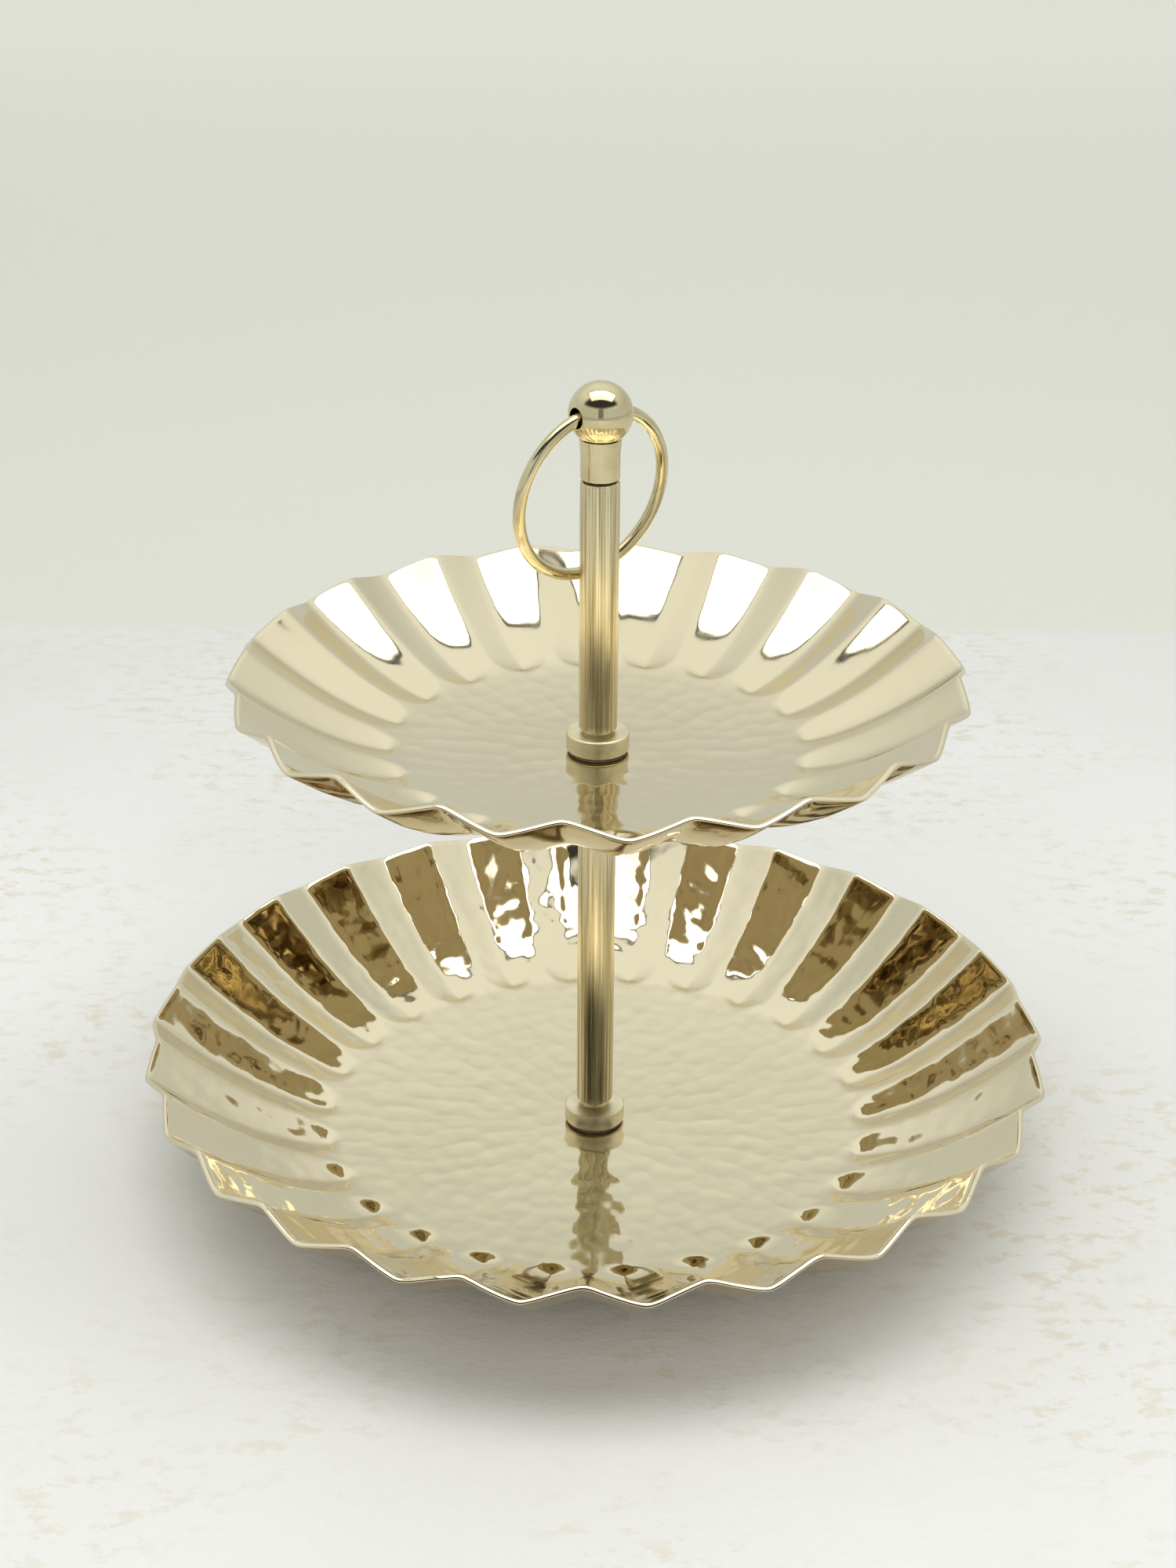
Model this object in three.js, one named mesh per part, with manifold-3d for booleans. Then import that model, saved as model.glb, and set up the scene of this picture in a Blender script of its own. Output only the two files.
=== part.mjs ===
// Two-tier cake stand: two fluted brass trays on a screwed tube column, with a ball finial and a ring handle.
// Millimetres, +Z up, origin on the table under the column's axis.
import * as THREE from "three";
import { mergeVertices } from "three/addons/utils/BufferGeometryUtils.js";
import Module from "manifold-3d";

// ---- Driving dimensions -------------------------------------------------------------------------------

const SHEET = 1.6; // tray sheet
const FLOOR_DISH_POWER = 2.5; // the hammered floor rises slowly at first, then faster
const SAMPLES_PER_FLUTE = 4;
const FLUTE_SHARPNESS = 0.975; // 1 would give the ridges and channels knife-sharp corners
const TURNED_SEGMENTS = 24; // flats round a turned piece
const MERGE_DISTANCE = 1e-4; // points closer than this are one

const LOWER_TRAY = {
  flutes: 26,
  phase: THREE.MathUtils.degToRad(-91.2), // azimuth of one ridge
  underside: 5.0, // height of the underside at the centre
  floorRise: 3.5, // how far the floor rises from its centre to the flutes' toes
  toeRadius: 86,
  ridgeRadius: 142.6, // the ridges' ends at the rim
  ridgeRise: 39.6, // their height over the centre of the floor
  wallPower: 1.6,
  toeDepth: 1.8,
  rimDepth: 5.1,
  rings: [3.3, 12, 54, 66, 86, 92, 101, 113, 128],
};
const UPPER_TRAY = {
  flutes: 20,
  phase: THREE.MathUtils.degToRad(-94.9),
  underside: 141.6,
  floorRise: 3.0,
  toeRadius: 62,
  ridgeRadius: 110.1,
  ridgeRise: 30.1,
  wallPower: 1.7,
  toeDepth: 1.6,
  rimDepth: 4.8,
  rings: [3.3, 12, 44, 62, 67, 75, 85, 97.5],
};

const STACK_GAP = 0.1; // between pieces that are clamped face to face
const GASKET = 0.8;
const GASKET_RADIUS = 9.5;
const SCREW_HOLE = 3.2; // radius of the plain holes for an M6 screw
const SCREW_RADIUS = 2.8;
const TAPPED_RADIUS = 3.1;

const COLLAR_RADIUS = 9.9;
const COLLAR_HEIGHT = 6;
const COLLAR_CHAMFER = 0.5;
const NECK_RADIUS = 4.2;
const LOWER_NECK = 2.2;
const UPPER_NECK = 1.3;
const SPIGOT_RADIUS = 4.7; // what sits inside a tube
const SPIGOT_STEP = 0.2; // the spigot widens over this height
const SPIGOT_LENGTH = 12;
const COLLAR_BORE_DEPTH = 16;

const TUBE_RADIUS = 6;
const TUBE_BORE = 5;
const TUBE_END_ROUND = 0.5;
const SEAT_RADIUS = 8;
const SEAT_HEIGHT = 3;
const SEAT_BORE_FLOOR = 2; // metal left below the seat's tapped hole
const STUD_REACH = 8.8; // how far the joining stud goes up into the upper collar
const THREAD_CHAMFER = 0.6; // on the ends of the stud and the screw
const SCREW_WASHER = 0.8;
const SCREW_HEAD = 2.4;
const SCREW_HEAD_RADIUS = 6;
const SCREW_HEAD_EDGE = 0.6; // height of the head's straight rim
const SCREW_SHOULDER = { radius: 5.2, rise: 0.7 }; // where the head's dome bends
const SCREW_CROWN_RADIUS = 3.4; // of the head's flat face
const SCREW_END_GAP = 4; // from the screw's end to the end of its hole
const SCREW_SOCKET = 1.5; // depth of its hexagon socket
const SCREW_SOCKET_RADIUS = 2.3; // to the hexagon's corners

const BALL_RADIUS = 9.7;
const BALL_HEIGHT = 252.1; // of the ball's centre
const BALL_HOLE = 3.1;
const BALL_SEAT_GAP = 0.2;
const BALL_SEGMENTS = { round: 28, high: 18, hole: 16 };
const SHANK_BOTTOM = 231.8;
const SHANK_TOP_RADIUS = 6.4;
const SHANK_STRAIGHT = 8; // height at which the shank starts to flare
const SHANK_FLARE = { rise: 11, radius: 6.3 }; // where the flare ends
const CUP_STEPS = 4; // points of the hollow under the ball
const GROOVE_CHAMFER = 0.7;
const GROOVE_GAP = 0.4; // between the upper tube and the shank
const FINIAL_SPIGOT_RADIUS = 2.3;
const FINIAL_SPIGOT_LENGTH = 10;
const FINIAL_TAPPED_RADIUS = 2.6;

const RING_RADIUS = 26.7; // to the middle of the wire
const RING_WIRE = 1.9;
const RING_SEGMENTS = { wire: 10, round: 40 };
const RING_AZIMUTH = THREE.MathUtils.degToRad(37.4); // of the cross hole's axis
const RING_LEAN = THREE.MathUtils.degToRad(8.85); // from hanging straight down, onto the back of the tube

const PAD_RADIUS = 6;
const PAD_BEVEL = 0.8;
const PAD_TAPER = 0.6; // the pad's top is this much smaller in radius
const PAD_CIRCLE = 60;
const PAD_COUNT = 4;

// ---- Levels up the stack ------------------------------------------------------------------------------

const lowerFloor = LOWER_TRAY.underside + SHEET;
const lowerCollarBase = lowerFloor + GASKET + 2 * STACK_GAP;
const lowerCollarTop = lowerCollarBase + COLLAR_HEIGHT;
const lowerTubeBottom = lowerCollarTop + LOWER_NECK + STACK_GAP;
const seatTop = UPPER_TRAY.underside - GASKET - 2 * STACK_GAP;
const lowerTubeTop = seatTop - SEAT_HEIGHT - STACK_GAP;
const upperFloor = UPPER_TRAY.underside + SHEET;
const upperCollarBase = upperFloor + GASKET + 2 * STACK_GAP;
const upperCollarTop = upperCollarBase + COLLAR_HEIGHT;
const upperTubeBottom = upperCollarTop + UPPER_NECK + STACK_GAP;
const upperTubeTop = SHANK_BOTTOM - GROOVE_GAP;
const seatBoreBottom = lowerTubeTop - SPIGOT_LENGTH + SEAT_BORE_FLOOR;

// ---- Materials ----------------------------------------------------------------------------------------

const metal = (name, color, roughness) =>
  new THREE.MeshStandardMaterial({ name, color, roughness, metalness: 1 });
const matt = (name, color) =>
  new THREE.MeshStandardMaterial({ name, color, roughness: 0.8, metalness: 0 });

const TRAY_BRASS = metal("tray_brass", 0xd9cca4, 0.08);
const COLUMN_BRASS = metal("column_brass", 0xcdb87c, 0.25);
const TURNED_BRASS = metal("turned_brass", 0xd2bf88, 0.15);
const STEEL = metal("screw_steel", 0xb8b8ba, 0.3);
const RUBBER = matt("gasket_rubber", 0x1c1a18);
const PAD_RUBBER = matt("pad_rubber", 0x2a2a2a);

// ---- Helpers ------------------------------------------------------------------------------------------

const wasm = await Module();
wasm.setup();

// A solid of manifold-3d from a three.js geometry.
function solidOf(geometry) {
  const bare = geometry.clone();
  bare.deleteAttribute("normal");
  bare.deleteAttribute("uv");
  const merged = mergeVertices(bare, MERGE_DISTANCE);
  return new wasm.Manifold(
    new wasm.Mesh({
      numProp: 3,
      vertProperties: merged.attributes.position.array,
      triVerts: new Uint32Array(merged.index.array),
    }),
  );
}

// A three.js geometry from a solid of manifold-3d.
function geometryOf(solid) {
  const mesh = solid.getMesh();
  const geometry = new THREE.BufferGeometry();
  const positions = new THREE.BufferAttribute(mesh.vertProperties, 3);
  geometry.setAttribute("position", positions);
  geometry.setIndex(new THREE.BufferAttribute(mesh.triVerts, 1));
  geometry.computeVertexNormals();
  return geometry;
}

// A turned piece about Z. The outline's points are [radius, height], anticlockwise with the axis on the left.
function turned(outline) {
  const points = outline.map(([radius, height]) => new THREE.Vector2(radius, height));
  return new THREE.LatheGeometry(points, TURNED_SEGMENTS).rotateX(Math.PI / 2);
}

// The outline of a plain ring or tube between two heights, closed on itself.
function tubeOutline(inner, outer, bottom, top, round = 0) {
  return [
    [inner, bottom],
    [outer - round, bottom],
    [outer, bottom + round],
    [outer, top - round],
    [outer - round, top],
    [inner, top],
    [inner, bottom],
  ];
}

function named(name, geometry, material) {
  const mesh = new THREE.Mesh(geometry, material);
  mesh.name = name;
  return mesh;
}

// ---- Trays --------------------------------------------------------------------------------------------

// Height and slope of the ridge surface (the floor, then the line of the ridges) at a radius.
function trayProfile(tray, radius) {
  const floor = tray.underside + SHEET;
  if (radius <= tray.toeRadius) {
    const share = radius / tray.toeRadius;
    const height = floor + tray.floorRise * share ** FLOOR_DISH_POWER;
    const slope = (FLOOR_DISH_POWER * tray.floorRise * share ** (FLOOR_DISH_POWER - 1)) / tray.toeRadius;
    return { height, slope };
  }
  const toeSlope = (FLOOR_DISH_POWER * tray.floorRise) / tray.toeRadius;
  const reach = tray.ridgeRadius - tray.toeRadius;
  const curved = tray.ridgeRise - tray.floorRise - toeSlope * reach;
  const out = radius - tray.toeRadius;
  const share = out / reach;
  return {
    height: floor + tray.floorRise + toeSlope * out + curved * share ** tray.wallPower,
    slope: toeSlope + (curved * tray.wallPower * share ** (tray.wallPower - 1)) / reach,
  };
}

// How deep a channel is, from 0 on a ridge to 1 in the middle: across runs from -1 to 1 between two ridges.
function channelShape(across) {
  const wave = Math.asin(FLUTE_SHARPNESS * Math.cos(Math.PI * across));
  return 0.5 + (0.5 * wave) / Math.asin(FLUTE_SHARPNESS);
}

// Depth of the channels at a radius and a place across a flute. The inner end of each one is round.
function channelDepth(tray, radius, across) {
  if (radius <= tray.toeRadius) return 0;
  const halfWidth = (Math.PI * radius) / tray.flutes;
  const fromToe = radius - tray.toeRadius;
  const toeShare = Math.min(1, fromToe / halfWidth);
  const width = Math.sqrt(1 - (1 - toeShare) ** 2);
  const place = Math.abs(across) / width;
  if (place >= 1) return 0;
  const share = fromToe / (tray.ridgeRadius - tray.toeRadius);
  return (tray.toeDepth + (tray.rimDepth - tray.toeDepth) * share) * channelShape(place);
}

// A point of the top (offset 0) or underside (offset SHEET) of a tray, pushed out and down from the ridges.
function trayPoint(tray, radius, azimuth, across, offset) {
  const { height, slope } = trayProfile(tray, radius);
  const lean = Math.atan(slope);
  const push = channelDepth(tray, radius, across) + offset;
  const out = radius < tray.toeRadius ? radius : radius + push * Math.sin(lean);
  const z = radius < tray.toeRadius ? height - push : height - push * Math.cos(lean);
  return [out * Math.cos(azimuth), out * Math.sin(azimuth), z];
}

// The whole tray as one closed sheet: rings of points out along the top, round the lip and back underneath.
function trayGeometry(tray) {
  const around = tray.flutes * SAMPLES_PER_FLUTE;
  const radii = [...tray.rings, tray.ridgeRadius];
  const loop = [...radii.map((r) => [r, 0]), ...radii.map((r) => [r, SHEET]).reverse()];
  const positions = [];
  for (const [radius, offset] of loop) {
    for (let i = 0; i < around; i++) {
      const azimuth = tray.phase + (2 * Math.PI * i) / around;
      const place = (i % SAMPLES_PER_FLUTE) / SAMPLES_PER_FLUTE;
      positions.push(...trayPoint(tray, radius, azimuth, 2 * place - 1, offset));
    }
  }
  const index = [];
  for (let ring = 0; ring < loop.length; ring++) {
    const here = ring * around;
    const next = ((ring + 1) % loop.length) * around;
    for (let i = 0; i < around; i++) {
      const j = (i + 1) % around;
      index.push(here + i, next + i, next + j, here + i, next + j, here + j);
    }
  }
  const geometry = new THREE.BufferGeometry();
  geometry.setAttribute("position", new THREE.Float32BufferAttribute(positions, 3));
  geometry.setIndex(index);
  geometry.computeVertexNormals();
  return geometry;
}

// ---- Column -------------------------------------------------------------------------------------------

function gasket(bottom, radius) {
  return turned(tubeOutline(SCREW_HOLE, radius, bottom, bottom + GASKET));
}

// Flange, neck and tube spigot in one turned piece, with a tapped hole from below.
function collar(base, neck) {
  const top = base + COLLAR_HEIGHT;
  const spigotBase = top + neck;
  const spigotTop = spigotBase + SPIGOT_LENGTH;
  const boreTop = base + COLLAR_BORE_DEPTH;
  return turned([
    [0, boreTop],
    [TAPPED_RADIUS, boreTop],
    [TAPPED_RADIUS, base],
    [COLLAR_RADIUS - COLLAR_CHAMFER, base],
    [COLLAR_RADIUS, base + COLLAR_CHAMFER],
    [COLLAR_RADIUS, top - COLLAR_CHAMFER],
    [COLLAR_RADIUS - COLLAR_CHAMFER, top],
    [NECK_RADIUS, top],
    [NECK_RADIUS, spigotBase],
    [SPIGOT_RADIUS, spigotBase + SPIGOT_STEP],
    [SPIGOT_RADIUS, spigotTop],
    [0, spigotTop],
  ]);
}

function columnTube(bottom, top) {
  return turned(tubeOutline(TUBE_BORE, TUBE_RADIUS, bottom, top, TUBE_END_ROUND));
}

// Plug in the top of the lower tube: a wide seat for the upper tray over a spigot, tapped from above.
function tubeSeat() {
  const spigotBottom = lowerTubeTop - SPIGOT_LENGTH;
  const seatBottom = seatTop - SEAT_HEIGHT;
  return turned([
    [0, spigotBottom],
    [SPIGOT_RADIUS, spigotBottom],
    [SPIGOT_RADIUS, seatBottom],
    [SEAT_RADIUS - COLLAR_CHAMFER, seatBottom],
    [SEAT_RADIUS, seatBottom + COLLAR_CHAMFER],
    [SEAT_RADIUS, seatTop],
    [TAPPED_RADIUS, seatTop],
    [TAPPED_RADIUS, seatBoreBottom],
    [0, seatBoreBottom],
  ]);
}

// Stud between the tube seat and the upper collar, with chamfered ends.
function joiningStud() {
  const bottom = seatBoreBottom + STACK_GAP;
  const top = upperCollarBase + STUD_REACH;
  return turned([
    [0, bottom],
    [SCREW_RADIUS - THREAD_CHAMFER, bottom],
    [SCREW_RADIUS, bottom + THREAD_CHAMFER],
    [SCREW_RADIUS, top - THREAD_CHAMFER],
    [SCREW_RADIUS - THREAD_CHAMFER, top],
    [0, top],
  ]);
}

function finialPlug() {
  const bottom = upperTubeTop - SPIGOT_LENGTH;
  return turned(tubeOutline(FINIAL_TAPPED_RADIUS, SPIGOT_RADIUS, bottom, upperTubeTop));
}

// ---- Base fittings ------------------------------------------------------------------------------------

// Button-head screw from below, with a hexagon socket.
function baseScrew() {
  const headTop = LOWER_TRAY.underside - GASKET - SCREW_WASHER - 3 * STACK_GAP;
  const headBottom = headTop - SCREW_HEAD;
  const shankTop = lowerCollarBase + COLLAR_BORE_DEPTH - SCREW_END_GAP;
  const screw = turned([
    [0, headBottom],
    [SCREW_CROWN_RADIUS, headBottom],
    [SCREW_SHOULDER.radius, headBottom + SCREW_SHOULDER.rise],
    [SCREW_HEAD_RADIUS, headTop - SCREW_HEAD_EDGE],
    [SCREW_HEAD_RADIUS, headTop],
    [SCREW_RADIUS, headTop],
    [SCREW_RADIUS, shankTop - THREAD_CHAMFER],
    [SCREW_RADIUS - THREAD_CHAMFER, shankTop],
    [0, shankTop],
  ]);
  const socket = new THREE.CylinderGeometry(SCREW_SOCKET_RADIUS, SCREW_SOCKET_RADIUS, 2 * SCREW_SOCKET, 6);
  socket.rotateX(Math.PI / 2).translate(0, 0, headBottom);
  return geometryOf(solidOf(screw).subtract(solidOf(socket)));
}

function baseWasher() {
  const top = LOWER_TRAY.underside - GASKET - 2 * STACK_GAP;
  return turned(tubeOutline(SCREW_HOLE, SEAT_RADIUS, top - SCREW_WASHER, top));
}

// Rubber bumper, a little narrower at the top, which follows the slope of the tray's underside.
function footPad(azimuth) {
  const pad = turned([
    [0, 0],
    [PAD_RADIUS - PAD_BEVEL, 0],
    [PAD_RADIUS, PAD_BEVEL],
    [PAD_RADIUS - PAD_TAPER, LOWER_TRAY.underside],
    [0, LOWER_TRAY.underside],
  ]);
  pad.translate(PAD_CIRCLE * Math.cos(azimuth), PAD_CIRCLE * Math.sin(azimuth), 0);
  const place = pad.attributes.position;
  for (let i = 0; i < place.count; i++) {
    const radius = Math.hypot(place.getX(i), place.getY(i));
    const top = trayProfile(LOWER_TRAY, radius).height - SHEET - STACK_GAP;
    if (place.getZ(i) > LOWER_TRAY.underside / 2) place.setZ(i, top);
  }
  return pad;
}

// ---- Finial and ring ----------------------------------------------------------------------------------

// Shank between the V-groove and the ball: spigot below, slight flare, hollow seat that cups the ball.
function finialShank() {
  const cupRadius = BALL_RADIUS + BALL_SEAT_GAP;
  const cupStart = Math.asin(SHANK_TOP_RADIUS / cupRadius);
  const cup = [];
  for (let i = 0; i <= CUP_STEPS; i++) {
    const angle = cupStart * (1 - i / CUP_STEPS);
    cup.push([cupRadius * Math.sin(angle), BALL_HEIGHT - cupRadius * Math.cos(angle)]);
  }
  return turned([
    [0, SHANK_BOTTOM - FINIAL_SPIGOT_LENGTH],
    [FINIAL_SPIGOT_RADIUS, SHANK_BOTTOM - FINIAL_SPIGOT_LENGTH],
    [FINIAL_SPIGOT_RADIUS, SHANK_BOTTOM],
    [TUBE_RADIUS - GROOVE_CHAMFER, SHANK_BOTTOM],
    [TUBE_RADIUS, SHANK_BOTTOM + GROOVE_CHAMFER],
    [TUBE_RADIUS, SHANK_BOTTOM + SHANK_STRAIGHT],
    [SHANK_FLARE.radius, SHANK_BOTTOM + SHANK_FLARE.rise],
    ...cup,
  ]);
}

// Unit vectors of the cross hole's axis, and of the level direction the ring leans towards.
const holeAxis = new THREE.Vector3(Math.cos(RING_AZIMUTH), Math.sin(RING_AZIMUTH), 0);
const leanSide = new THREE.Vector3(-holeAxis.y, holeAxis.x, 0);

function finialBall() {
  const ball = new THREE.SphereGeometry(BALL_RADIUS, BALL_SEGMENTS.round, BALL_SEGMENTS.high);
  const hole = new THREE.CylinderGeometry(BALL_HOLE, BALL_HOLE, 3 * BALL_RADIUS, BALL_SEGMENTS.hole);
  hole.rotateZ(Math.PI / 2).rotateZ(RING_AZIMUTH);
  const drilled = geometryOf(solidOf(ball).subtract(solidOf(hole)));
  return drilled.translate(0, 0, BALL_HEIGHT);
}

// Round-wire ring. Its arc through the ball is centred on the hole, so it can swing about the hole's axis.
function ringHandle() {
  const halfArc = Math.asin(BALL_RADIUS / RING_RADIUS);
  const arcRise = (RING_RADIUS * (1 - Math.cos(halfArc))) / 2;
  const down = new THREE.Vector3(0, 0, -Math.cos(RING_LEAN)).addScaledVector(leanSide, Math.sin(RING_LEAN));
  const centre = new THREE.Vector3(0, 0, BALL_HEIGHT).addScaledVector(down, RING_RADIUS - arcRise);
  const ring = new THREE.TorusGeometry(RING_RADIUS, RING_WIRE, RING_SEGMENTS.wire, RING_SEGMENTS.round);
  const normal = new THREE.Vector3().crossVectors(holeAxis, down);
  const turn = new THREE.Matrix4().makeBasis(holeAxis, down, normal);
  return ring.applyMatrix4(turn).translate(centre.x, centre.y, centre.z);
}

// ---- The object ---------------------------------------------------------------------------------------

const stand = new THREE.Group();

const base = new THREE.Group();
base.add(named("lower_tray", trayGeometry(LOWER_TRAY), TRAY_BRASS));
base.add(named("base_gasket", gasket(LOWER_TRAY.underside - GASKET - STACK_GAP, SEAT_RADIUS), RUBBER));
base.add(named("base_washer", baseWasher(), STEEL));
base.add(named("base_screw", baseScrew(), STEEL));
for (let i = 0; i < PAD_COUNT; i++) {
  const azimuth = ((i + 0.5) * 2 * Math.PI) / PAD_COUNT;
  base.add(named(`foot_pad_${i + 1}`, footPad(azimuth), PAD_RUBBER));
}

const lowerColumn = new THREE.Group();
lowerColumn.add(named("lower_gasket", gasket(lowerFloor + STACK_GAP, GASKET_RADIUS), RUBBER));
lowerColumn.add(named("lower_collar", collar(lowerCollarBase, LOWER_NECK), TURNED_BRASS));
lowerColumn.add(named("lower_tube", columnTube(lowerTubeBottom, lowerTubeTop), COLUMN_BRASS));
lowerColumn.add(named("tube_seat", tubeSeat(), TURNED_BRASS));
lowerColumn.add(named("joining_stud", joiningStud(), STEEL));
lowerColumn.add(named("seat_gasket", gasket(seatTop + STACK_GAP, SEAT_RADIUS), RUBBER));

const upperColumn = new THREE.Group();
upperColumn.add(named("upper_gasket", gasket(upperFloor + STACK_GAP, GASKET_RADIUS), RUBBER));
upperColumn.add(named("upper_collar", collar(upperCollarBase, UPPER_NECK), TURNED_BRASS));
upperColumn.add(named("upper_tube", columnTube(upperTubeBottom, upperTubeTop), COLUMN_BRASS));
upperColumn.add(named("finial_plug", finialPlug(), TURNED_BRASS));
upperColumn.add(named("finial_shank", finialShank(), TURNED_BRASS));
upperColumn.add(named("finial_ball", finialBall(), TURNED_BRASS));

const upperTray = named("upper_tray", trayGeometry(UPPER_TRAY), TRAY_BRASS);
const ring = named("ring_handle", ringHandle(), TURNED_BRASS);

stand.add(base, lowerColumn, upperTray, upperColumn, ring);

export default stand;
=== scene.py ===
"""Looks of the two-tier fluted cake stand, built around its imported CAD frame.

Millimetre sizes are turned into metres by MM. The trays, the turned pieces and the ring are made anew as
fine meshes from the same driving sizes as the frame, and each one replaces the faceted node it stands for.
"""
import math

import bpy
import numpy as np
from mathutils import Matrix, Vector


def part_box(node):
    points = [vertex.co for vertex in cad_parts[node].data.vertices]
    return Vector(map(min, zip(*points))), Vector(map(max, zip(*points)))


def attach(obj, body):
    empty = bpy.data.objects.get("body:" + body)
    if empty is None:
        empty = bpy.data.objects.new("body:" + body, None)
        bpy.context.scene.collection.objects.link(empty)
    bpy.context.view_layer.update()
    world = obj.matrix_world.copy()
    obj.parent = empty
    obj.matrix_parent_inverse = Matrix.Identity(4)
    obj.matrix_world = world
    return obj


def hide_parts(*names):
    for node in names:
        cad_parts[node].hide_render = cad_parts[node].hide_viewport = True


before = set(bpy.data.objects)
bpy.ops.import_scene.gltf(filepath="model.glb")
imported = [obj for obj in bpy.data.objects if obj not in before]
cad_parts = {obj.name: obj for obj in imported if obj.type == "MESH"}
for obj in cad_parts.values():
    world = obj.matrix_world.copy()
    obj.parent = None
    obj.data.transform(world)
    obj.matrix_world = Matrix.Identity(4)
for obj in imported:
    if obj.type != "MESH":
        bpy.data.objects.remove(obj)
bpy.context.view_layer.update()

MM = 0.001
RANDOM_SEED = 11

# ---- Driving sizes, in millimetres ----------------------------------------------------------------------

SHEET = 1.6
FLOOR_DISH_POWER = 2.5
TRAYS = {
    "lower_tray": dict(
        flutes=26, phase=math.radians(-91.2), underside=5.0, floor_rise=3.5, toe_radius=86.0,
        ridge_radius=142.6, ridge_rise=39.6, wall_power=1.6, toe_depth=1.8, rim_depth=5.1,
        per_flute=30, floor_rings=52, wall_rings=44, under_rings=24, floor_hammering=0.26,
        wall_hammering=0.30,
    ),
    "upper_tray": dict(
        flutes=20, phase=math.radians(-94.9), underside=141.6, floor_rise=3.0, toe_radius=62.0,
        ridge_radius=110.1, ridge_rise=30.1, wall_power=1.7, toe_depth=1.6, rim_depth=4.8,
        per_flute=36, floor_rings=44, wall_rings=46, under_rings=34, floor_hammering=0.24,
        wall_hammering=0.05,
    ),
}
SCREW_HOLE = 3.3
LIP_STEPS = 6
LIP_BULGE = 0.35  # of half the sheet's thickness
LIP_TILT = math.tan(math.radians(15))  # the cut edge faces a little upwards
FLUTE_SHARPNESS = 0.94  # 1 would give the ridges and channels knife-sharp corners
CORNER_CROWDING = 0.6  # how far the points round a flute crowd towards its corners
TOE_ROUNDING = 2.0  # length over which a channel's inner end sinks to its depth
NARROWEST = 1e-6  # keeps a channel's width off 0 where something is divided by it

DIMPLE_RADIUS = 6.0
DIMPLE_PITCH = 8.2
DIMPLE_ROW_PITCH = 0.86  # of the pitch along a row
DIMPLE_STRENGTH = (0.6, 1.15)  # weakest and strongest blow
FEWEST_DIMPLES = 6  # in one row
FIRST_DIMPLE_RADIUS = 9.0
DIMPLE_SHIFT_ROUND = 0.22  # random shift along a row, of the row's pitch
DIMPLE_SHIFT_OUT = 1.2
RIM_MARGIN = 3.0  # the hammer marks end this far inside the rim
TOE_BLEND = 3.0  # they change from the floor's depth to the wall's this far on both sides of the toes
CLAMPED_RADIUS = 10.0  # the sheet is flat between the gaskets and collars
CLAMPED_FADE = 5.0
UNDERSIDE_HAMMERING = 4.0  # how much deeper the marks are underneath
RIM_SWING = 0.0035  # in radians, how far the flutes' ends stray sideways
RIM_LIFT = 0.45  # how far the rim strays up and down
WAVE_STRENGTH = (0.4, 1)  # weakest and strongest sine wave of that straying

COLUMN_SEGMENTS = 96
PAD_SEGMENTS = 64
ON_AXIS = 1e-6  # a point of an outline nearer to the axis than this is on it
CLEAR_CORNER = math.radians(20)  # an outline's bend under this stays as it is
CORNER_SHARE = 0.4  # of a side, the most that its corner's rounding takes up
CORNER_STEPS = (0, 0.33, 0.67, 1)
SHARP_EDGE = math.radians(50)
FILLET = 0.15
CHAMFER = 0.5
TAPPED_RADIUS = 3.1
WASHER_HOLE = 3.2
WASHER_ROUND = 0.2
GASKET_RADIUS = 9.4
BASE_WASHER_RADIUS = 8.0
COLLAR_RADIUS = 9.9
COLLAR_HEIGHT = 6.0
COLLAR_BORE_DEPTH = 16.0
NECK_RADIUS = 4.2
SPIGOT_RADIUS = 4.7
SPIGOT_LENGTH = 12.0
SPIGOT_STEP = 0.2
TUBE_RADIUS = 6.0
TUBE_BORE = 5.0
TUBE_END_ROUND = 0.5
SEAT_RADIUS = 8.0
SEAT_HEIGHT = 3.0
SEAT_BORE_FLOOR = 2.0
SHANK_BOTTOM = 231.8
SHANK_TOP_RADIUS = 6.4
SHANK_FILLET = 0.12
SHANK_FLARE = ((0, 8), (0.1, 9.5), (0.3, 11))  # how much wider it is, and how far up
SHANK_SPIGOT_RADIUS = 2.3
SHANK_SPIGOT_LENGTH = 10.0
GROOVE_CHAMFER = 0.7
CUP_GAP = 0.2
CUP_STEPS = 10
RING_RADIUS = 26.7
RING_WIRE = 1.9
RING_AZIMUTH = math.radians(37.4)
RING_LEAN = math.radians(8.85)
BALL_RADIUS = 9.7
BALL_HEIGHT = 252.1
BALL_HOLE = 3.1
BALL_FILLET = 0.25
BALL_STEPS = 48
RING_STEPS = 192
WIRE_STEPS = 32

SCREW_PITCH = 1.0
SCREW_HEAD = 2.4
SCREW_HEAD_RADIUS = 6.0
SCREW_SOCKET_DEPTH = 1.5
SCREW_SOCKET_RADII = (2.0, 2.1)  # at its bottom and at its mouth
SCREW_HEAD_DOME = ((3.4, 0), (4.6, 0.35), (5.5, 1.0))  # radius and rise of the rounded face
SCREW_HEAD_EDGE = 0.6
SCREW_NECK_RADIUS = 2.8
SCREW_TIP_RADIUS = 2.2
THREAD_START = 0.6  # above the head
THREAD_CREST = 2.78
THREAD_ROOT = 2.5
THREAD_FILLET = 0.05

PAD_RADIUS = 6.0
PAD_SHOULDER_RADIUS = 5.6
PAD_TOP_RADIUS = 5.2
PAD_EDGE = 1.0  # chamfer of the edge it stands on
PAD_ROUND = 0.4
PAD_CLEARANCE = 0.75  # how far the pad's flat top lies under the top of the CAD pad

rng = np.random.default_rng(RANDOM_SEED)


# ---- Mesh helpers ---------------------------------------------------------------------------------------

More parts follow.
